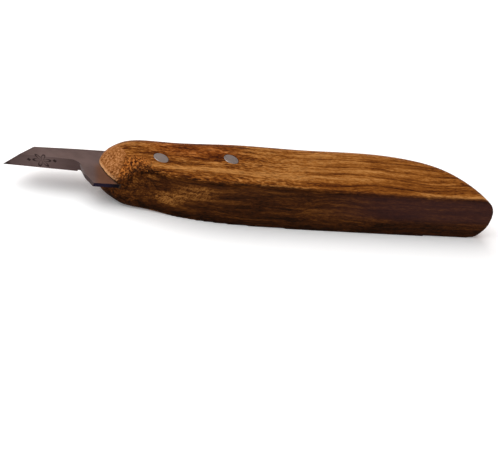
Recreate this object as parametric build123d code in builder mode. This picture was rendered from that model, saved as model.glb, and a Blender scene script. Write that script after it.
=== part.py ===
"""Chip carving knife: a short flat-ground blade let into a one-piece wooden handle and held by two pins.

Row frame, in millimetres: the knife lies on the flat lower cheek of its handle, at z = 0.
+X runs from the blade's tip to the butt, -Y is the cutting-edge side and +Z is up.
The origin is the bottom centre of the whole knife's box.
Plan outlines are drawn from the front pin's axis, which is the workshop datum.
"""

import os

from build123d import *

# Handle: flat cheeks, a nearly straight edge side and a rounded palm side
HANDLE_THICKNESS = 15.4
BUTT_REACH = 120.4  # front pin's axis to the butt
PALM_SIDE = 15.1  # front pin's axis to the fullest part of the palm side
EDGE_SIDE = 12.4  # front pin's axis to the fullest part of the edge side
UPPER_ROUND = 7.4  # upper cheek's round-over along the palm side, the nose and the butt
LOWER_ROUND = 6.2  # lower cheek's round-over along the same sides
SPARE = 12.0  # how far the blank runs on past the edge side before it is trimmed

# Knife-cut facets round the upper side of the nose. Each faces a heading, in degrees from +X towards +Y,
# and lies that far from the row frame's origin.
FACET_LEAN = 38.0  # degrees from upright
FACETS = {206: 43.1, 188: 46.4, 155: 45.2, 122: 33.0}

# Blade: a plate whose lower part is ground to an edge
BLADE_THICKNESS = 1.3
TIP = Vector(-48.7, 2.3)
CLIP_END = (-36.3, 11.15)  # where the clip meets the spine
SPINE_Y = 11.5  # spine where it enters the wood
HEEL = Vector(-24.3, 1.0)
CHOIL_RADIUS = 0.75  # notch that frees the heel for sharpening
CHOIL_X = -23.8  # top of the slope between the heel and the ricasso
RICASSO_X = -22.0
RICASSO_Y = -5.4  # underside of the unground part
GRIND_WIDTH = 4.9  # cutting edge to the top of the ground face
GRIND_RUN_OUT = 0.6  # heel to the end of the ground face
GRIND_CORNER = 2.2  # radius at the top of the plunge
GRIND_REACH = 34.0  # length of the grinding pass, which runs out past the tip
PLUNGE_LEAN = 35.0  # lean of the wall at the end of the ground face, in degrees
EDGE_LAND = 0.1  # steel left behind the cutting edge

# Tang, slot and glue
SHOULDER_X = -6.0  # hidden step from the blade's full width to the tang
TANG_HIGH = 7.0
TANG_END = 34.0
GLUE_FILM = 0.2
GLUE_RECESS = 0.5  # how far the glue stops short of the slot's mouth

# Pins
PIN_DIAMETER = 4.76
PIN_SPACING = 25.0
REAR_PIN_Y = 1.8
PIN_EASE = 0.12  # chamfer on each end of a pin

# Edge side near the nose, by height: its upper rim is fuller than its lower one
EDGE_SIDE_RIMS = {
    0: ((-4, -6.5), (7, -9.0), (28, -11.7)),
    HANDLE_THICKNESS: ((-4, -8.1), (7, -10.9), (28, -12.3)),
}

PIN_PLACES = {"front_pin": (0, 0), "rear_pin": (PIN_SPACING, REAR_PIN_Y)}
NOSE_LOW = (-14.0, RICASSO_Y)  # where the blade's underside enters the wood
BUTT_LOW = (BUTT_REACH, -11.8)  # where the edge side meets the butt
LOWER_CHEEK = Plane((-(BUTT_REACH + TIP.X) / 2, -(PALM_SIDE - EDGE_SIDE) / 2, 0))
BLADE_PLANE = LOWER_CHEEK.offset(HANDLE_THICKNESS / 2)


def save(piece, label):
    """Labels a finished part and writes it."""
    piece.part.label = label
    export_step(piece.part, f"parts/{label}.step")


os.makedirs("parts", exist_ok=True)

# Outline of the blank before its edge side is trimmed
with BuildSketch() as blank_plan:
    with BuildLine():
        outline = Spline(
            (-5, -EDGE_SIDE - SPARE),
            NOSE_LOW,
            (-17.2, 1.5),
            (-16.1, 6.8),
            (-8.5, 12.6),
            (6, 13.5),
            (30, 14.6),
            (55, 14.5),
            (79, PALM_SIDE),
            (96, 13.4),
            (109.4, 8.0),
            (117.5, -1.8),
            BUTT_LOW,
            tangents=[(-0.35, 1), (0.12, -1)],
        )
        run_on = Line(outline @ 1, outline @ 1 + SPARE * (outline % 1))
        Line(run_on @ 1, outline @ 0)
    make_face()

# Full width of the blade as far as the shoulder, then the tang
with BuildSketch() as tang_plan:
    with BuildLine():
        Polyline(
            (RICASSO_X, RICASSO_Y),
            (TANG_END, RICASSO_Y),
            (TANG_END, TANG_HIGH),
            (SHOULDER_X, TANG_HIGH),
            (SHOULDER_X, SPINE_Y),
            (RICASSO_X, SPINE_Y),
            close=True,
        )
    make_face()

with BuildSketch() as slot_plan:
    add(tang_plan.sketch)
    offset(amount=GLUE_FILM, kind=Kind.INTERSECTION)

with BuildSketch() as pin_plan:
    with Locations(*PIN_PLACES.values()):
        Circle(PIN_DIAMETER / 2)

with BuildPart() as handle:
    with BuildSketch(LOWER_CHEEK):
        add(blank_plan.sketch)
    extrude(amount=HANDLE_THICKNESS)
    for height, radius in ((HANDLE_THICKNESS, UPPER_ROUND), (0, LOWER_ROUND)):
        rims = handle.edges().filter_by_position(Axis.Z, height, height)
        fillet(rims.sort_by(Axis.Y)[1:], radius)
    for height, rim in EDGE_SIDE_RIMS.items():
        with BuildSketch(LOWER_CHEEK.offset(height)):
            with BuildLine():
                Spline(NOSE_LOW, *rim, (56, -EDGE_SIDE), BUTT_LOW, tangents=[(1, -0.2), (1, 0.02)])
                Polyline(
                    BUTT_LOW,
                    (BUTT_REACH + SPARE, BUTT_LOW[1]),
                    (BUTT_REACH + SPARE, PALM_SIDE + SPARE),
                    (TIP.X, PALM_SIDE + SPARE),
                    (TIP.X, RICASSO_Y),
                    NOSE_LOW,
                )
            make_face()
    loft(ruled=True, mode=Mode.INTERSECT)
    for heading, reach in FACETS.items():
        facing = Vector(1, 0, 0).rotate(Axis.Y, -FACET_LEAN).rotate(Axis.Z, heading)
        split(bisect_by=Plane(facing * reach, z_dir=facing), keep=Keep.BOTTOM)
    with BuildSketch(BLADE_PLANE):
        add(slot_plan.sketch)
    extrude(amount=BLADE_THICKNESS / 2 + GLUE_FILM, both=True, mode=Mode.SUBTRACT)
    with BuildSketch(LOWER_CHEEK):
        add(pin_plan.sketch)
    extrude(amount=HANDLE_THICKNESS, mode=Mode.SUBTRACT)
save(handle, "handle")

# Steel taken off the blade's upper face: x runs from tip to heel, y up the ground face from the edge
edge_run = (HEEL - TIP).normalized()
up_the_face = Vector(0, 0, 1).cross(edge_run) * GRIND_WIDTH
up_the_face += Vector(0, 0, (BLADE_THICKNESS - EDGE_LAND) / 2)
ground_face = Plane(
    BLADE_PLANE.from_local_coords(HEEL) + Vector(0, 0, EDGE_LAND / 2),
    x_dir=edge_run,
    z_dir=edge_run.cross(up_the_face),
)
with BuildPart() as upper_grind:
    with BuildSketch(ground_face):
        with BuildLine():
            FilletPolyline(
                (GRIND_RUN_OUT, -GRIND_WIDTH),
                (GRIND_RUN_OUT, up_the_face.length),
                (-GRIND_REACH, up_the_face.length),
                radius=GRIND_CORNER,
            )
            Polyline(
                (-GRIND_REACH, up_the_face.length),
                (-GRIND_REACH, -GRIND_WIDTH),
                (GRIND_RUN_OUT, -GRIND_WIDTH),
            )
        make_face()
    extrude(amount=BLADE_THICKNESS, taper=-PLUNGE_LEAN)
lower_grind = mirror(upper_grind.part, about=BLADE_PLANE)

with BuildPart() as blade:
    with BuildSketch(BLADE_PLANE):
        add(tang_plan.sketch)
        with BuildLine():
            Polyline(
                TIP,
                CLIP_END,
                (RICASSO_X, SPINE_Y),
                (RICASSO_X, RICASSO_Y),
                (CHOIL_X, HEEL.Y - CHOIL_RADIUS),
                HEEL,
                close=True,
            )
        make_face()
        add(pin_plan.sketch, mode=Mode.SUBTRACT)
        with Locations(HEEL):
            Circle(CHOIL_RADIUS, mode=Mode.SUBTRACT)
    extrude(amount=BLADE_THICKNESS / 2, both=True)
    add(upper_grind.part, mode=Mode.SUBTRACT)
    add(lower_grind, mode=Mode.SUBTRACT)
save(blade, "blade")

# Glue that fills the slot all round the tang
with BuildPart() as epoxy_bed:
    with BuildSketch(BLADE_PLANE):
        with Locations((GLUE_RECESS, 0)):
            add(blank_plan.sketch)
        add(slot_plan.sketch, mode=Mode.INTERSECT)
        add(pin_plan.sketch, mode=Mode.SUBTRACT)
    extrude(amount=BLADE_THICKNESS / 2 + GLUE_FILM, both=True)
    add(blade.part, mode=Mode.SUBTRACT)
save(epoxy_bed, "epoxy_bed")

for pin_name, place in PIN_PLACES.items():
    with BuildPart() as pin:
        with BuildSketch(LOWER_CHEEK):
            with Locations(place):
                Circle(PIN_DIAMETER / 2)
        extrude(amount=HANDLE_THICKNESS)
        chamfer(pin.edges().filter_by(GeomType.CIRCLE), PIN_EASE)
    save(pin, pin_name)

for piece in (handle, blade, epoxy_bed):
    print(piece.part.label, round(piece.part.volume), "mm3, valid" if piece.part.is_valid else "INVALID")
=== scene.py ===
"""Looks of a chip carving knife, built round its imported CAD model. Metres, in the CAD model's own frame."""

import math
from types import SimpleNamespace

import bmesh
import bpy
import numpy as np
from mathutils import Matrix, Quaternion, Vector, kdtree


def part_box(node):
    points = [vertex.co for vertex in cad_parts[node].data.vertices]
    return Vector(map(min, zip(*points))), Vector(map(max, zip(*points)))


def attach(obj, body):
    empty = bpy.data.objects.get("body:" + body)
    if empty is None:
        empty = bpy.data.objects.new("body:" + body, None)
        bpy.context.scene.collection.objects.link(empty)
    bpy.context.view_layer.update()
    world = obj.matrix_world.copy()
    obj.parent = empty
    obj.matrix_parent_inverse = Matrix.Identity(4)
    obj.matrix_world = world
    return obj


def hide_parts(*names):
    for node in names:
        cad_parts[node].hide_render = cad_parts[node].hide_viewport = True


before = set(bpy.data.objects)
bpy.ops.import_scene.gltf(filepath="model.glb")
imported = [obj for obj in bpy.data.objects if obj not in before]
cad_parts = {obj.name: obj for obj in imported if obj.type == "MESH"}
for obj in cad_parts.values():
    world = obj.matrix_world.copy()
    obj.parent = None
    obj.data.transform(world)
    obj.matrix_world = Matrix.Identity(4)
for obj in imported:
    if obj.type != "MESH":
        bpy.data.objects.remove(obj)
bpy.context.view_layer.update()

MM = 0.001

# Camera: where it stands and how it looks, as angles about the row frame's axes
CAMERA_PLACE = Vector((-331.0, -474.9, 350.6)) * MM
CAMERA_HEADING = 54.6  # degrees from +X towards +Y
CAMERA_DIP = 32.0  # degrees below the horizon
CAMERA_ROLL = 23.5
CAMERA_LENS = 155.06
CAMERA_REACH = 10.0  # how far it sees
SENSOR_WIDTH = 36.0

# Softboxes: place, width, height and watts. Both face the origin.
SOFTBOXES = {
    "back_left": ((-0.35, 0.5, 0.9), 1.4, 1.2, 11.5),
    "left_top": ((-0.7, -0.1, 0.7), 0.5, 0.5, 3.5),
}

# Floor
FLOOR_REACH = 3.0  # from its middle to each side
FLOOR_GAP = 0.02 * MM  # below the handle, so that the two don't share a plane
FLOOR_SHADE = 0.92
FLOOR_GLOW = 0.13  # lightens the shadows

# White world with a dim warm card in it, which the steel reflects towards the camera
WORLD_STRENGTH = 0.5
CARD_DIRECTION = Vector((0.49, 0.69, 0.53)).normalized()
CARD_COLOR = (0.76, 0.55, 0.50, 1.0)
CARD_RIM = (0.68, 0.88)  # cosines of the angles from its direction between which it fades in

# Handle's mesh
VOXEL = 0.4 * MM
MOUTH_REACH = 9 * MM  # length of the nose that is filled before the slot is cut again
MOUTH_OVERLAP = 2 * MM  # how far the filling of the deeper slot runs into that of the nose
FACET_LEAN = 38.0  # lean of the knife-cut facets round the nose, in degrees from upright
FACET_HEADINGS = (206.0, 188.0, 155.0, 122.0)  # the way each of them faces, in degrees from +X towards +Y
FACET_DEPTH = 0.03 * MM  # shaved off each of them
FACET_RIM = 0.3 * MM  # how far the rims of the facets are rounded
PIN_PLAY = 0.06 * MM
PIN_HOLE_SIDES = 96
PIN_HOLE_SPARE = 1.2  # length of the tool that cuts a pin's hole, in lengths of the pin
CREASE = 40.0  # edges sharper than this stay sharp, in degrees

# Softening of the handle: the corner between the nose, the cheek and the edge side gets far more of it
SOFTENING_PASSES = 150
SOFTENING_STEP = 0.5
CORNER_SOFT = 1.0  # share of the passes at that corner
BODY_SOFT = 0.035  # and along the rest of the handle
CORNER_LENGTH = (9 * MM, 24 * MM)  # distances from the nose over which the corner ends
CORNER_WIDTH = (1.5 * MM, 7 * MM)  # distances from the edge side over which it ends
BEHIND_FACETS = (4 * MM, 10 * MM)  # above the blade, distances from the nose over which it starts
ABOVE_BLADE = (8.5 * MM, 12 * MM)  # and heights over which it starts
BELOW_BLADE = (4.5 * MM, 7 * MM)  # below the blade, heights over which it ends
EDGE_SIDE_FACING = -0.93  # Y of the normal that a point on the flat edge side has at most

# The materials' lengths are in millimetres in the row frame: the blade's tip is at X -85, the nose at X -53
# and the butt at X 85, and the edge side faces -Y.

STEEL_CLOUDING = 0.2  # how much darker and lighter than its tint a steel gets

# Etched rosette on the blade
ROSETTE_MIDDLE = (-71.5, 3.4, 0.0)
ROSETTE_RADIUS = 2.7
LOZENGE_REACH = 1.55 * ROSETTE_RADIUS  # rosette's middle to each lozenge's
LOZENGE_SIZE = 0.35
STROKE = (0.22, 0.5)  # half the width of its lines, and where they have faded out

# Lighter and darker zones of the cheek: start, end and softness across the grain, the same along it, and
# how much lighter the wood is there
ENDLESS = 1000.0
CHEEK_ZONES = (
    ((-13.0, -4.5, 1.5), (-34.0, 14.0, 7.0), 0.08),  # golden streak below the pins
    ((-7.0, -2.5, 1.5), (-36.0, -21.0, 3.5), -0.09),  # smoky streak in it
    ((-8.0, 9.0, 4.0), (-4.0, 42.0, 8.0), 0.10),  # pale middle
    ((0.0, 30.0, 3.0), (-34.0, -6.0, 7.0), -0.06),  # palm side between the pins
    ((-6.0, 30.0, 3.0), (48.0, ENDLESS, 8.0), -0.03),  # butt
)

# The same, with the distance from the edge side in place of the place across the grain
RIM_ZONES = (
    ((0.9, 2.2, 0.6), (-7.5, ENDLESS, 12.5), 0.07),  # painted highlight along the edge
    ((-2.0, 4.5, 1.5), (9.0, 52.0, 8.0), -0.11),  # darker strip along it
)

# Curly patches on the edge side: middle, spread and how much lighter
CURLY_PATCHES = (
    ((-33.5, 0.0, 6.8), (6.0, ENDLESS, 2.9), 0.30),
    ((-26.0, 0.0, 10.8), (8.0, ENDLESS, 3.4), 0.24),
)


# Meshes ---------------------------------------------------------------------------------------

def new_object(name, bm):
    """A new object holding bm, which is freed."""
    mesh = bpy.data.meshes.new(name)
    bm.to_mesh(mesh)
    bm.free()
    made = bpy.data.objects.new(name, mesh)
    bpy.context.scene.collection.objects.link(made)
    return made


def add_cuboid(bm, low, high):
    """Adds an upright box between two corners to bm."""
    for vert in bmesh.ops.create_cube(bm, size=1.0)["verts"]:
        vert.co = Vector(low[i] + (high[i] - low[i]) * (vert.co[i] + 0.5) for i in range(3))


def apply_modifiers(piece):
    """Makes what the piece's modifiers show its own mesh."""
    seen = piece.evaluated_get(bpy.context.evaluated_depsgraph_get())
    mesh = bpy.data.meshes.new_from_object(seen)
    piece.modifiers.clear()
    old = piece.data
    piece.data = mesh
    bpy.data.meshes.remove(old)


def read_rows(mesh, what):
    """The mesh's vertex places ("co") or normals ("normal") as rows of x, y, z."""
    rows = np.empty(len(mesh.vertices) * 3)
    mesh.vertices.foreach_get(what, rows)
    return rows.reshape(-1, 3)


def smooth_step(values, start, end):
    """0 below start and 1 above end, with a smooth rise between."""
    share = np.clip((values - start) / (end - start), 0, 1)
    return share * share * (3 - 2 * share)


def nose_filling(bm, nose_end):
    """The convex hull of bm's vertices on the nose, as a mesh."""
    hull = bmesh.new()
    for vert in bm.verts:
        if vert.co.x < nose_end:
            hull.verts.new(vert.co)
    bmesh.ops.convex_hull(hull, input=hull.verts)
    bmesh.ops.delete(hull, geom=[v for v in hull.verts if not v.link_faces], context="VERTS")
    filling = bpy.data.meshes.new("filling")
    hull.to_mesh(filling)
    hull.free()
    return filling


def handle_blank():
    """The handle with its slot and pin holes filled, as one closed mesh of even quads."""
    handle_low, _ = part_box("handle")
    glue_low, glue_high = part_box("epoxy_bed")
    bm = bmesh.new()
    for node in ("handle", "front_pin", "rear_pin"):
        bm.from_mesh(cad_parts[node].data)
    filling = nose_filling(bm, handle_low.x + MOUTH_REACH)
    bm.from_mesh(filling)
    bpy.data.meshes.remove(filling)
    add_cuboid(bm, glue_low + Vector((MOUTH_REACH - MOUTH_OVERLAP, 0, 0)), glue_high)
    blank = new_object("walnut_handle", bm)
    remesh = blank.modifiers.new("even_quads", "REMESH")
    remesh.mode = "VOXEL"
    remesh.voxel_size = VOXEL
    apply_modifiers(blank)
    return blank


def shaved(co, facing, through, rim):
    """The points with all that lies beyond a plane pressed back onto it, its rims rounded."""
    beyond = (co - through) @ facing
    return co - np.outer((beyond + np.hypot(beyond, rim)) / 2, facing)


def carve_facets(blank):
    """Shaves the nose to flat facets, as the knife that shaped it did."""
    co = read_rows(blank.data, "co")
    lean = math.radians(FACET_LEAN)
    for heading in map(math.radians, FACET_HEADINGS):
        facing = np.array(
            [math.cos(heading) * math.cos(lean), math.sin(heading) * math.cos(lean), math.sin(lean)]
        )
        crown = co[np.argmax(co @ facing)]
        co = shaved(co, facing, crown - FACET_DEPTH * facing, FACET_RIM)
    blank.data.vertices.foreach_set("co", co.ravel())
    blank.data.update()


def distance_from_edge_side(mesh):
    """How far each vertex is from the flat edge side, in metres."""
    co = read_rows(mesh, "co")
    on_side = np.nonzero(read_rows(mesh, "normal")[:, 1] < EDGE_SIDE_FACING)[0]
    tree = kdtree.KDTree(len(on_side))
    for place, index in enumerate(on_side):
        tree.insert(co[index], place)
    tree.balance()
    return np.array([tree.find(point)[2] for point in co])


def soften(blank):
    """Rounds the creases a little, and the corner between the nose, the cheek and the edge side a lot."""
    handle_low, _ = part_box("handle")
    co = read_rows(blank.data, "co")
    from_nose = co[:, 0] - handle_low.x
    height = co[:, 2]
    at_corner = 1 - smooth_step(from_nose, *CORNER_LENGTH)
    at_corner *= 1 - smooth_step(distance_from_edge_side(blank.data), *CORNER_WIDTH)
    above_blade = smooth_step(from_nose, *BEHIND_FACETS) * smooth_step(height, *ABOVE_BLADE)
    below_blade = 1 - smooth_step(height, *BELOW_BLADE)
    at_corner *= np.maximum(above_blade, below_blade)
    group = blank.vertex_groups.new(name="softness")
    for index, share in enumerate(at_corner):
        group.add([index], BODY_SOFT + (CORNER_SOFT - BODY_SOFT) * share, "REPLACE")
    smooth = blank.modifiers.new("soften", "SMOOTH")
    smooth.factor = SOFTENING_STEP
    smooth.iterations = SOFTENING_PASSES
    smooth.vertex_group = group.name
    apply_modifiers(blank)
    blank.vertex_groups.clear()


def mark_edge_side(blank):
    """Stores how far each vertex is from the edge side, in millimetres, for the wood's colours."""
    attribute = blank.data.attributes.new("from_edge_side", "FLOAT", "POINT")
    distances = distance_from_edge_side(blank.data) / MM
    attribute.data.foreach_set("value", distances.astype(np.float32))


def slot_cutter():
    """A block that cuts the blade's slot, from in front of the nose to the end of the glue."""
    glue_low, glue_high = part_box("epoxy_bed")
    blade_low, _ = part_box("blade")
    bm = bmesh.new()
    add_cuboid(bm, (blade_low.x, glue_low.y, glue_low.z), glue_high)
    return new_object("slot", bm)


def pin_cutter():
    """Two cylinders that cut the pins' holes."""
    bm = bmesh.new()
    for node in ("front_pin", "rear_pin"):
        low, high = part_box(node)
        radius = (high.x - low.x) / 2 + PIN_PLAY
        made = bmesh.ops.create_cone(
            bm,
            segments=PIN_HOLE_SIDES,
            radius1=radius,
            radius2=radius,
            depth=PIN_HOLE_SPARE * (high.z - low.z),
            cap_ends=True,
        )
        bmesh.ops.translate(bm, verts=made["verts"], vec=(low + high) / 2)
    return new_object("holes", bm)


def cut_seats(blank):
    """Cuts the blade's slot and the pins' holes into the blank."""
    cutters = (slot_cutter(), pin_cutter())
    for cutter in cutters:
        cut = blank.modifiers.new("cut", "BOOLEAN")
        cut.operation = "DIFFERENCE"
        cut.solver = "EXACT"
        cut.object = cutter
    apply_modifiers(blank)
    for cutter in cutters:
        bpy.data.objects.remove(cutter)


def make_handle():
    """The wooden handle, hand-shaped: it stands for the plain CAD handle."""
    handle = handle_blank()
    carve_facets(handle)
    soften(handle)
    mark_edge_side(handle)
    cut_seats(handle)
    handle.data.shade_smooth()
    handle.data.set_sharp_from_angle(angle=math.radians(CREASE))
    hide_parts("handle")
    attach(handle, "root")
    return handle


# Shaders --------------------------------------------------------------------------------------

def linear(red, green, blue):
    """A colour given in sRGB steps of 0 to 255, as the linear colour that a shader takes."""
    parts = [c / 255 for c in (red, green, blue)]
    return tuple(c / 12.92 if c <= 0.04045 else ((c + 0.055) / 1.055) ** 2.4 for c in parts) + (1.0,)


class Shader:
    """A material's node tree. Any value may be a number, a colour, a vector or another node's output."""

    def __init__(self, name):
        self.material = bpy.data.materials.new(name)
        self.material.use_nodes = True
        self.tree = self.material.node_tree
        self.surface = self.tree.nodes["Principled BSDF"]

    def feed(self, socket, value):
        """Links an output to the socket, or sets the socket to a plain value."""
        if isinstance(value, bpy.types.NodeSocket):
            self.tree.links.new(value, socket)
        else:
            socket.default_value = value

    def node(self, kind, *values, **settings):
        """A new node with its first inputs fed in order; None leaves an input as it is."""
        made = self.tree.nodes.new("ShaderNode" + kind)
        for name, value in settings.items():
            setattr(made, name, value)
        for socket, value in zip(made.inputs, values):
            if value is not None:
                self.feed(socket, value)
        return made

    def math(self, operation, *values):
        return self.node("Math", *values, operation=operation).outputs[0]

    def vector(self, operation, *values):
        return self.node("VectorMath", *values, operation=operation).outputs[0]

    def part(self, place, axis):
        """The X, Y or Z of a vector."""
        return self.node("SeparateXYZ", place).outputs[axis]

    def millimetres(self):
        """The point's place in the row frame, in millimetres."""
        place = self.node("TexCoord").outputs["Object"]
        return self.vector("MULTIPLY", place, (1000.0, 1000.0, 1000.0))

    def noise(self, place, stretch, detail=2.0, roughness=0.5, distortion=0.0, output="Fac"):
        """Smooth noise of 0 to 1; stretch is its features per millimetre."""
        made = self.node("TexNoise", self.vector("MULTIPLY", place, stretch))
        made.inputs["Scale"].default_value = 1.0
        made.inputs["Detail"].default_value = detail
        made.inputs["Roughness"].default_value = roughness
        made.inputs["Distortion"].default_value = distortion
        return made.outputs[output]

    def fade(self, value, start, end, low=0.0, high=1.0):
        """low before start and high beyond end, with a smooth change between."""
        made = self.node("MapRange", value, start, end, low, high, interpolation_type="SMOOTHSTEP")
        return made.outputs[0]

    def band(self, value, start, end, soft):
        """1 between start and end, fading out over soft on either side of them."""
        rise = self.fade(value, start - soft, start + soft)
        return self.math("MULTIPLY", rise, self.fade(value, end - soft, end + soft, 1.0, 0.0))

    def layered(self, plain, *layers):
        """plain with layers over it, each a value, the middle of its range and how strongly it shows."""
        for value, middle, weight in layers:
            plain = self.math("MULTIPLY_ADD", self.math("SUBTRACT", value, middle), weight, plain)
        return plain

    def ramp(self, value, *stops):
        """The colour that value picks from stops, each a value with its colour."""
        first, last = stops[0][0], stops[-1][0]
        made = self.node("ValToRGB", self.node("MapRange", value, first, last, 0.0, 1.0).outputs[0])
        elements = made.color_ramp.elements
        while len(elements) < len(stops):
            elements.new(0.5)
        for element, (position, color) in zip(elements, stops):
            element.position = (position - first) / (last - first)
            element.color = color
        return made.outputs["Color"]

    def mix(self, share, first, second, blend="MIX"):
        made = self.node("Mix", data_type="RGBA", blend_type=blend)
        self.feed(made.inputs["Factor"], share)
        self.feed(made.inputs[6], first)
        self.feed(made.inputs[7], second)
        return made.outputs[2]

    def emboss(self, height, strength, depth):
        """Roughens the surface by a bump of that depth, in metres."""
        bump = self.node("Bump")
        bump.inputs["Strength"].default_value = strength
        bump.inputs["Distance"].default_value = depth
        self.feed(bump.inputs["Height"], height)
        self.feed(self.surface.inputs["Normal"], bump.outputs[0])


# Wood -----------------------------------------------------------------------------------------

def read_wood(s):
    """What the wood's colours are made of: places, directions and the layers of its grain."""
    here = s.millimetres()
    along, across, up = (s.part(here, axis) for axis in "XYZ")
    normal = s.node("NewGeometry").outputs["Normal"]
    wander = s.noise(here, (0.02, 0.06, 0.06), output="Color")
    wander = s.vector("SUBTRACT", wander, (0.5, 0.5, 0.5))
    grain = s.vector("MULTIPLY_ADD", wander, (0.0, 11.0, 11.0), here)
    return SimpleNamespace(
        here=here,
        along=along,
        across=across,
        up=up,
        from_edge=s.node("Attribute", attribute_name="from_edge_side").outputs["Fac"],
        near_nose=s.fade(along, -36.0, -42.0),
        facing_x=s.part(normal, "X"),
        facing_y=s.part(normal, "Y"),
        grain=grain,
        level=s.part(grain, "Y"),
        bands=s.noise(grain, (0.011, 0.22, 0.13)),
        streaks=s.noise(grain, (0.03, 0.8, 0.6), detail=4.0, roughness=0.6),
        fibres=s.noise(grain, (0.16, 2.2, 2.0), detail=3.0, roughness=0.7),
        flecks=s.noise(grain, (0.6, 2.3, 2.3), roughness=0.7),
        specks=s.noise(here, (1.3, 1.8, 1.8), detail=3.0, roughness=0.65),
    )


def cheek_tone(s, wood):
    """How light the cheek is, from 0.95 in its darkest lines to 1.46 in its palest streaks."""
    threads = s.noise(wood.grain, (0.09, 1.5, 1.3), detail=3.0, roughness=0.6)
    blotches = s.noise(wood.grain, (0.1, 0.35, 0.35), detail=3.0, roughness=0.6)
    tone = s.layered(
        1.26,
        (wood.bands, 0.5, 0.6),
        (wood.streaks, 0.5, 0.65),
        (wood.fibres, 0.5, s.fade(wood.along, 15.0, 45.0, 0.6, 0.38)),
        (threads, 0.5, s.fade(wood.along, 15.0, 45.0, 0.45, 0.15)),
        (wood.flecks, 0.5, s.fade(wood.along, 25.0, -5.0, 0.5, 0.95)),
        (blotches, 0.54, s.fade(wood.along, 20.0, -15.0, 0.0, 0.5)),
    )

    # Long thin dark lines, mostly towards the butt and the edge side
    waves = s.node("TexWave", wood.grain, bands_direction="Y")
    waves.inputs["Scale"].default_value = 0.07
    waves.inputs["Distortion"].default_value = 1.6
    waves.inputs["Detail Scale"].default_value = 0.35
    lines = s.fade(waves.outputs["Fac"], 0.0, 0.16, 1.0, 0.0)
    lines = s.math("MULTIPLY", lines, s.fade(wood.level, 13.0, 3.0, 0.25, 1.0))
    tone = s.math("MULTIPLY_ADD", lines, s.fade(wood.along, 5.0, 30.0, 0.0, -0.17), tone)

    for zones, sideways in ((CHEEK_ZONES, wood.level), (RIM_ZONES, wood.from_edge)):
        for side_band, long_band, lift in zones:
            inside = s.math("MULTIPLY", s.band(sideways, *side_band), s.band(wood.along, *long_band))
            tone = s.math("MULTIPLY_ADD", inside, lift, tone)
    return tone


def cheek_color(s, wood, tone):
    """Golden to dark brown by tone, with dark dashes, painted shade on the palm side and a red band between
    the pins.
    """
    color = s.ramp(
        tone,
        (0.95, linear(44, 16, 3)),
        (1.10, linear(80, 38, 8)),
        (1.21, linear(112, 62, 17)),
        (1.32, linear(138, 83, 31)),
        (1.46, linear(170, 116, 60)),
    )
    dashes = s.fade(s.noise(wood.grain, (0.36, 2.5, 2.5), roughness=0.6), 0.52, 0.60)
    dashes = s.math("MULTIPLY", dashes, s.fade(wood.along, 45.0, 0.0, 0.1, 0.55))
    color = s.mix(dashes, color, linear(64, 28, 7))
    # Painted shade: faces turned towards the palm side (+Y) are darkened
    color = s.mix(s.fade(wood.facing_y, 0.3, 0.7, 0.0, 0.45), color, linear(66, 32, 12))
    red = s.math("MULTIPLY", s.band(wood.level, 1.0, 30.0, 3.5), s.band(wood.along, -36.0, -8.0, 7.0))
    return s.mix(s.math("MULTIPLY", red, 0.5), color, (1.0, 0.66, 0.62, 1.0), "MULTIPLY")


def end_grain(s, wood):
    """Mask of the end grain: what faces -X above the blade."""
    end = s.math("MULTIPLY", s.fade(wood.facing_x, -0.3, -0.6), s.fade(wood.up, 6.5, 8.5))
    slanting = s.math("MULTIPLY_ADD", wood.across, -0.45, wood.along)
    return s.math("MULTIPLY", end, s.fade(slanting, -46.4, -48.2))


def color_nose(s, wood, end, color):
    """Lays speckled end grain on the nose with a painted highlight along its rim and painted shade towards
    the palm side, and a dark wall of painted shade below the blade.
    """
    speckled = s.ramp(
        wood.specks,
        (0.32, linear(88, 43, 14)),
        (0.50, linear(140, 87, 44)),
        (0.68, linear(188, 133, 87)),
    )
    color = s.mix(s.math("MULTIPLY", end, 0.9), color, speckled)
    # Painted shade on the palm side of the nose
    palm_end_shade = s.math("MULTIPLY", s.fade(wood.across, 1.5, 5.5), s.fade(wood.along, -38.0, -44.0, 0.0, 0.12))
    color = s.mix(palm_end_shade, color, linear(84, 44, 16))
    # Painted shade on the wall below the blade, which faces away from the light
    wall = s.math("MULTIPLY", s.fade(wood.facing_x, -0.6, -0.8), s.fade(wood.up, 8.5, 7.0))
    color = s.mix(wall, color, linear(54, 34, 11))
    # Painted highlight along the rim of the end-grain facets
    rim = s.math("MULTIPLY", end, s.fade(wood.up, 9.4, 8.8, 0.0, 0.55))
    return s.mix(rim, color, linear(206, 156, 110))


def color_corner(s, wood, end, color):
    """Lays orange and dark mottling on the corner between the nose and the edge side."""
    mottled = s.ramp(
        s.noise(wood.here, (2.0, 1.3, 0.9), detail=3.0, roughness=0.65),
        (0.40, linear(44, 18, 5)),
        (0.48, linear(110, 56, 16)),
        (0.60, linear(178, 108, 46)),
    )
    corner = s.math("MULTIPLY", s.fade(wood.along, -37.0, -44.0), s.fade(wood.from_edge, 9.0, 5.0))
    corner = s.math("MULTIPLY", corner, s.math("SUBTRACT", 1.0, end))
    return s.mix(corner, color, mottled)


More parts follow.
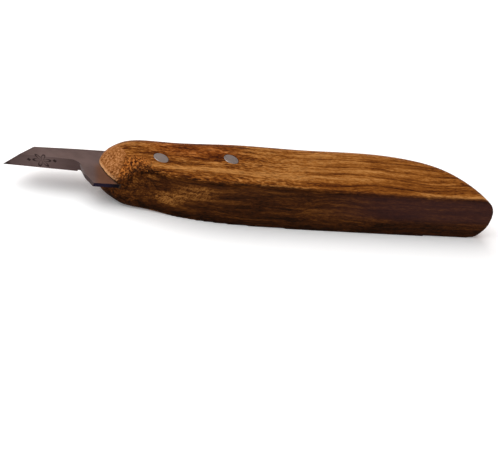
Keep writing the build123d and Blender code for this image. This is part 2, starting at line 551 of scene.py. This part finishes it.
def heartwood_and_shade(s, wood):
    """Mask of the dark edge side, partly heartwood and partly painted shade, with a border that is ragged
    towards the nose.
    """
    from_border = s.math("MULTIPLY_ADD", s.band(wood.along, -47.0, -38.5, 2.5), -1.5, wood.from_edge)
    from_border = s.math("MULTIPLY_ADD", s.band(wood.along, -20.0, 10.0, 5.0), -0.6, from_border)
    ragged = s.layered(0.0, (wood.flecks, 0.5, 4.5), (wood.streaks, 0.5, 3.0))
    ragged = s.math("MULTIPLY", ragged, s.fade(wood.along, 0.0, -24.0, 0.3, 1.0))
    ragged = s.layered(ragged, (wood.specks, 0.4, s.math("MULTIPLY", wood.near_nose, 9.0)))
    from_border = s.math("MULTIPLY_ADD", ragged, s.fade(wood.from_edge, -0.4, 1.5), from_border)
    softness = s.fade(wood.along, -38.0, -46.0, 1.9, 6.0)
    heart_and_shade = s.fade(from_border, 0.0, softness, 1.0, 0.0)
    below_blade = s.math("MULTIPLY", s.fade(wood.up, 8.5, 6.5), s.fade(wood.across, 2.0, -4.0))
    below_blade = s.math("MULTIPLY", below_blade, s.fade(wood.along, -38.0, -46.0))
    return s.math("MAXIMUM", heart_and_shade, below_blade)


def heartwood_and_shade_color(s, wood):
    """Dark streaks of the edge side, partly heartwood colour and partly painted shade, curly in patches
    towards the nose and purplish towards the butt.
    """
    tone = s.layered(
        0.495,
        (wood.fibres, 0.5, 0.25),
        (wood.streaks, 0.5, 0.5),
        (wood.flecks, 0.5, 0.3),
        (wood.specks, 0.45, s.math("MULTIPLY", wood.near_nose, 0.5)),
    )
    sloping = s.node("VectorRotate", wood.here, None, (0.0, 1.0, 0.0), math.radians(50)).outputs[0]
    curls = s.noise(sloping, (0.7, 0.8, 1.1), detail=3.0, roughness=0.7, distortion=1.3)
    for middle, spread, lift in CURLY_PATCHES:
        spot = s.vector("DIVIDE", s.vector("SUBTRACT", wood.here, middle), spread)
        inside = s.fade(s.node("VectorMath", spot, operation="LENGTH").outputs["Value"], 1.3, 0.4)
        tone = s.math("MULTIPLY_ADD", inside, s.fade(curls, 0.40, 0.64, 0.25 * lift, lift), tone)
    tone = s.math("ADD", tone, s.fade(wood.from_edge, 0.2, 1.2, 0.0, -0.07))
    tone = s.math("ADD", tone, s.fade(wood.up, 5.0, 0.5, 0.0, -0.08))
    color = s.ramp(
        tone,
        (0.38, linear(27, 11, 3)),
        (0.50, linear(59, 28, 7)),
        (0.60, linear(90, 50, 15)),
        (0.78, linear(150, 98, 46)),
    )
    violet = s.math("MULTIPLY", s.band(wood.up, 6.0, 15.0, 2.0), s.fade(wood.along, 10.0, 50.0, 0.0, 0.55))
    return s.mix(violet, color, linear(62, 36, 36))


def oiled_wood():
    """Figured wood, lightly oiled: a golden cheek, end grain on the nose and a dark edge side, partly
    heartwood and partly painted shade.
    """
    s = Shader("oiled_wood")
    wood = read_wood(s)
    tone = cheek_tone(s, wood)
    end = end_grain(s, wood)
    color = cheek_color(s, wood, tone)
    color = color_nose(s, wood, end, color)
    color = color_corner(s, wood, end, color)
    # The edge side: heartwood colour darkened further by painted shade
    color = s.mix(heartwood_and_shade(s, wood), color, heartwood_and_shade_color(s, wood))
    s.feed(s.surface.inputs["Base Color"], color)
    s.feed(s.surface.inputs["Roughness"], s.fade(tone, 0.9, 1.4, 0.6, 0.48))
    s.surface.inputs["Specular IOR Level"].default_value = 0.02
    s.emboss(s.math("ADD", wood.fibres, wood.flecks), 0.4, 0.15 * MM)
    return s.material


# Steel and glue -------------------------------------------------------------------------------

def satin_steel(name, tint, roughness, stretch):
    """A brushed steel's shader and colour; stretch is its grinding marks per millimetre."""
    s = Shader(name)
    here = s.millimetres()
    marks = s.noise(here, stretch, detail=3.0, roughness=0.6)
    cloud = s.noise(here, (0.15, 0.15, 0.15))
    shade = s.math("MULTIPLY_ADD", marks, 0.35, s.math("MULTIPLY", cloud, 0.65))
    dark = tuple(c * (1 - STEEL_CLOUDING) for c in tint[:3]) + (1.0,)
    light = tuple(c * (1 + STEEL_CLOUDING) for c in tint[:3]) + (1.0,)
    color = s.mix(s.fade(shade, 0.3, 0.7), dark, light)
    s.feed(s.surface.inputs["Base Color"], color)
    s.surface.inputs["Metallic"].default_value = 1.0
    s.feed(s.surface.inputs["Roughness"], s.fade(marks, 0.3, 0.7, roughness - 0.05, roughness + 0.07))
    s.emboss(marks, 0.15, 0.02 * MM)
    return s, color


def rosette(s, here, facing_z):
    """Mask of a six-petalled rosette between two lozenges, on the blade's upper face."""
    spot = s.vector("SUBTRACT", here, ROSETTE_MIDDLE)
    along, across = s.part(spot, "X"), s.part(spot, "Y")
    turn = s.math("ARCTAN2", across, along)
    reach = s.math("ADD", s.math("POWER", along, 2.0), s.math("POWER", across, 2.0))
    reach = s.math("POWER", reach, 0.5)
    petal = s.math("ABSOLUTE", s.math("COSINE", s.math("MULTIPLY", turn, 3.0)))
    off_petal = s.math("ABSOLUTE", s.math("SUBTRACT", reach, s.math("MULTIPLY", petal, ROSETTE_RADIUS)))
    off_lozenge = s.math("ABSOLUTE", s.math("SUBTRACT", s.math("ABSOLUTE", along), LOZENGE_REACH))
    off_lozenge = s.math("ADD", off_lozenge, s.math("ABSOLUTE", across))
    off_line = s.math("MINIMUM", off_petal, s.math("SUBTRACT", off_lozenge, LOZENGE_SIZE))
    return s.math("MULTIPLY", s.fade(off_line, *STROKE, 1.0, 0.0), s.fade(facing_z, 0.5, 0.8))


def blade_steel():
    """Dark satin steel: painted shade darkens the ground face and the tip, a painted reflection makes it
    brown beside the wood, and it has a rosette.
    """
    s, color = satin_steel("dark_satin_steel", linear(127, 113, 110), 0.34, (0.6, 6.0, 6.0))
    here = s.millimetres()
    along, across = s.part(here, "X"), s.part(here, "Y")
    normal = s.node("NewGeometry").outputs["Normal"]
    facing_y, facing_z = s.part(normal, "Y"), s.part(normal, "Z")

    # Painted shade on the ground face, deepest towards the plunge
    ground = s.math("MULTIPLY", s.fade(facing_y, -0.02, -0.06), s.fade(facing_y, -0.5, -0.4))
    ground = s.math("MULTIPLY", ground, s.fade(along, -70.0, -60.0, 0.55, 0.8))
    color = s.mix(ground, color, linear(64, 50, 50))
    # Painted shade, deepening towards the tip
    color = s.mix(s.fade(along, -70.0, -87.0, 0.0, 0.55), color, linear(54, 42, 42))

    # Wood mirrored in the upper face, low down beside the nose
    beside_wood = s.fade(s.math("MULTIPLY_ADD", across, -0.3, along), -56.4, -53.8)
    mirrored = s.math("MULTIPLY", beside_wood, s.fade(facing_z, 0.5, 0.8))
    mirrored = s.math("MULTIPLY", mirrored, s.fade(across, 4.5, 1.0, 0.0, 0.7))
    color = s.mix(mirrored, color, (1.0, 0.62, 0.32, 1.0), "MULTIPLY")

    # Painted shade: the very tip is nearly black
    color = s.mix(s.fade(along, -81.5, -84.0, 0.0, 0.75), color, linear(20, 14, 14))

    # Underside of the ricasso: dark bluish, with painted shade, nearly black, where it enters the wood
    underside = s.fade(facing_y, -0.3, -0.45)
    dark_underside = s.math("MULTIPLY", underside, s.fade(along, -60.5, -59.0, 0.0, 0.97))
    color = s.mix(dark_underside, color, linear(14, 6, 28))
    # Painted shade where the underside enters the wood
    seated_shade = s.math("MULTIPLY", underside, s.fade(along, -53.5, -50.5, 0.0, 0.8))
    color = s.mix(seated_shade, color, linear(8, 5, 4))

    etched = s.math("MULTIPLY", rosette(s, here, facing_z), 0.85)
    color = s.mix(etched, color, linear(22, 16, 15))
    s.feed(s.surface.inputs["Base Color"], color)
    return s.material


def pin_steel():
    """Lighter satin steel, ground along Y."""
    s, _ = satin_steel("pin_steel", linear(143, 135, 130), 0.45, (5.0, 1.2, 1.2))
    return s.material


def hard_glue():
    """Dark amber glue, slightly cloudy."""
    s = Shader("amber_glue")
    cloud = s.noise(s.millimetres(), (1.2, 1.2, 1.2))
    s.feed(s.surface.inputs["Base Color"], s.mix(cloud, linear(36, 20, 8), linear(58, 34, 14)))
    s.surface.inputs["Roughness"].default_value = 0.45
    s.surface.inputs["Specular IOR Level"].default_value = 0.1
    return s.material


def dress(piece, material):
    """Gives the piece that material alone."""
    piece.data.materials.clear()
    piece.data.materials.append(material)


# Stage ----------------------------------------------------------------------------------------

def make_camera():
    data = bpy.data.cameras.new("camera")
    data.lens = CAMERA_LENS
    data.sensor_width = SENSOR_WIDTH
    data.clip_end = CAMERA_REACH
    camera = bpy.data.objects.new("camera", data)
    heading, dip = math.radians(CAMERA_HEADING), math.radians(CAMERA_DIP)
    ahead = Vector((math.cos(heading) * math.cos(dip), math.sin(heading) * math.cos(dip), -math.sin(dip)))
    level = ahead.to_track_quat("-Z", "Y")
    camera.rotation_mode = "QUATERNION"
    camera.rotation_quaternion = level @ Quaternion((0, 0, 1), math.radians(CAMERA_ROLL))
    camera.location = CAMERA_PLACE
    bpy.context.scene.collection.objects.link(camera)
    bpy.context.scene.camera = camera


def make_floor():
    bm = bmesh.new()
    bmesh.ops.create_grid(bm, x_segments=1, y_segments=1, size=FLOOR_REACH)
    floor = new_object("floor", bm)
    floor.location.z = -FLOOR_GAP
    paper = bpy.data.materials.new("white_paper")
    paper.use_nodes = True
    sockets = paper.node_tree.nodes["Principled BSDF"].inputs
    sockets["Base Color"].default_value = (FLOOR_SHADE, FLOOR_SHADE, FLOOR_SHADE, 1.0)
    sockets["Roughness"].default_value = 0.9
    sockets["Specular IOR Level"].default_value = 0.0
    sockets["Emission Color"].default_value = (1.0, 1.0, 1.0, 1.0)
    sockets["Emission Strength"].default_value = FLOOR_GLOW
    floor.data.materials.append(paper)


def make_softbox(name, place, width, height, watts):
    data = bpy.data.lights.new(name, "AREA")
    data.shape = "RECTANGLE"
    data.size = width
    data.size_y = height
    data.energy = watts
    lamp = bpy.data.objects.new(name, data)
    lamp.location = place
    lamp.rotation_mode = "QUATERNION"
    lamp.rotation_quaternion = (-Vector(place)).to_track_quat("-Z", "Y")
    bpy.context.scene.collection.objects.link(lamp)


def make_world():
    world = bpy.data.worlds.new("studio")
    world.use_nodes = True
    nodes, links = world.node_tree.nodes, world.node_tree.links
    towards = nodes.new("ShaderNodeVectorMath")
    towards.operation = "DOT_PRODUCT"
    links.new(nodes.new("ShaderNodeTexCoord").outputs["Generated"], towards.inputs[0])
    towards.inputs[1].default_value = CARD_DIRECTION
    card = nodes.new("ShaderNodeMapRange")
    card.interpolation_type = "SMOOTHSTEP"
    links.new(towards.outputs["Value"], card.inputs["Value"])
    card.inputs["From Min"].default_value, card.inputs["From Max"].default_value = CARD_RIM
    sky = nodes.new("ShaderNodeMix")
    sky.data_type = "RGBA"
    links.new(card.outputs[0], sky.inputs["Factor"])
    sky.inputs[6].default_value = (1.0, 1.0, 1.0, 1.0)
    sky.inputs[7].default_value = CARD_COLOR
    links.new(sky.outputs[2], nodes["Background"].inputs["Color"])
    nodes["Background"].inputs["Strength"].default_value = WORLD_STRENGTH
    bpy.context.scene.world = world


dress(make_handle(), oiled_wood())
dress(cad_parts["blade"], blade_steel())
dress(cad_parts["epoxy_bed"], hard_glue())
pins = pin_steel()
for node in ("front_pin", "rear_pin"):
    dress(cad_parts[node], pins)

make_camera()
make_floor()
make_world()
for name, softbox in SOFTBOXES.items():
    make_softbox(name, *softbox)
bpy.context.scene.view_settings.view_transform = "Standard"
